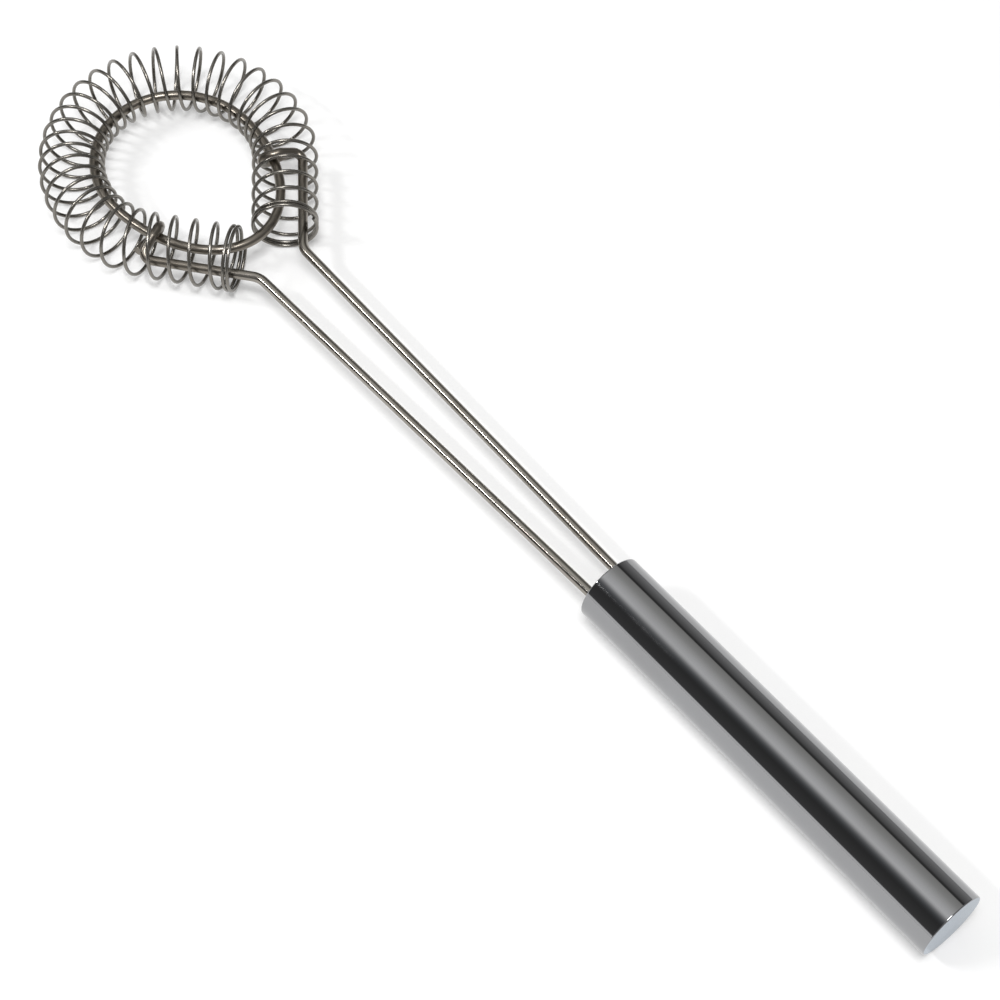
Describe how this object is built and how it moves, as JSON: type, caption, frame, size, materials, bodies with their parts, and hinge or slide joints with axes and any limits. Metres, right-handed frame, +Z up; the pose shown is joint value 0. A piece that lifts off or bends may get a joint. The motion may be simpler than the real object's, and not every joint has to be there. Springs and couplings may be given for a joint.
{
  "type": "spiral whisk",
  "caption": "Hand whisk with a polished tube handle, two bent leg wires, a closed head ring rocking in their hooks and a thin wire coil wound round it.",
  "frame": {"origin": "middle of the whisk's length and width, on the surface it lies on", "axes": "+X along the handle from the head to the closed rear end, +Y across the head, +Z up from the surface the whisk lies on"},
  "size_m": [0.2707, 0.0619, 0.015],
  "materials": {
    "handle_chrome": "mirror polished, with fine handling scratches",
    "cap_chrome": "polished flat disc, slightly satin",
    "inner_steel": "plain turned steel, unpolished",
    "frame_wire": "drawn steel wire, darkened by use",
    "coil_wire": "thin drawn spring wire, slightly dull"
  },
  "bodies": {
    "handle": {"handle_tube": "handle_chrome", "rear_cap": "cap_chrome", "front_plug": "inner_steel", "wire_anchor": "inner_steel", "left_leg_wire": "frame_wire", "right_leg_wire": "frame_wire"},
    "ring": {"head_ring": "frame_wire"},
    "coil": {"whisk_coil": "coil_wire"}
  },
  "joints": [
    {"name": "head_rock", "type": "hinge", "parent": "handle", "child": "ring", "pos_m": [-0.0902, 0, 0.0075], "axis": [0, 1, 0], "range_deg": [-7, 7]},
    {"name": "coil_slip", "type": "hinge", "parent": "ring", "child": "coil", "pos_m": [-0.1026, 0, 0.0075], "axis": [0, 0, 1], "range_deg": [-2.5, 2.5]}
  ]
}
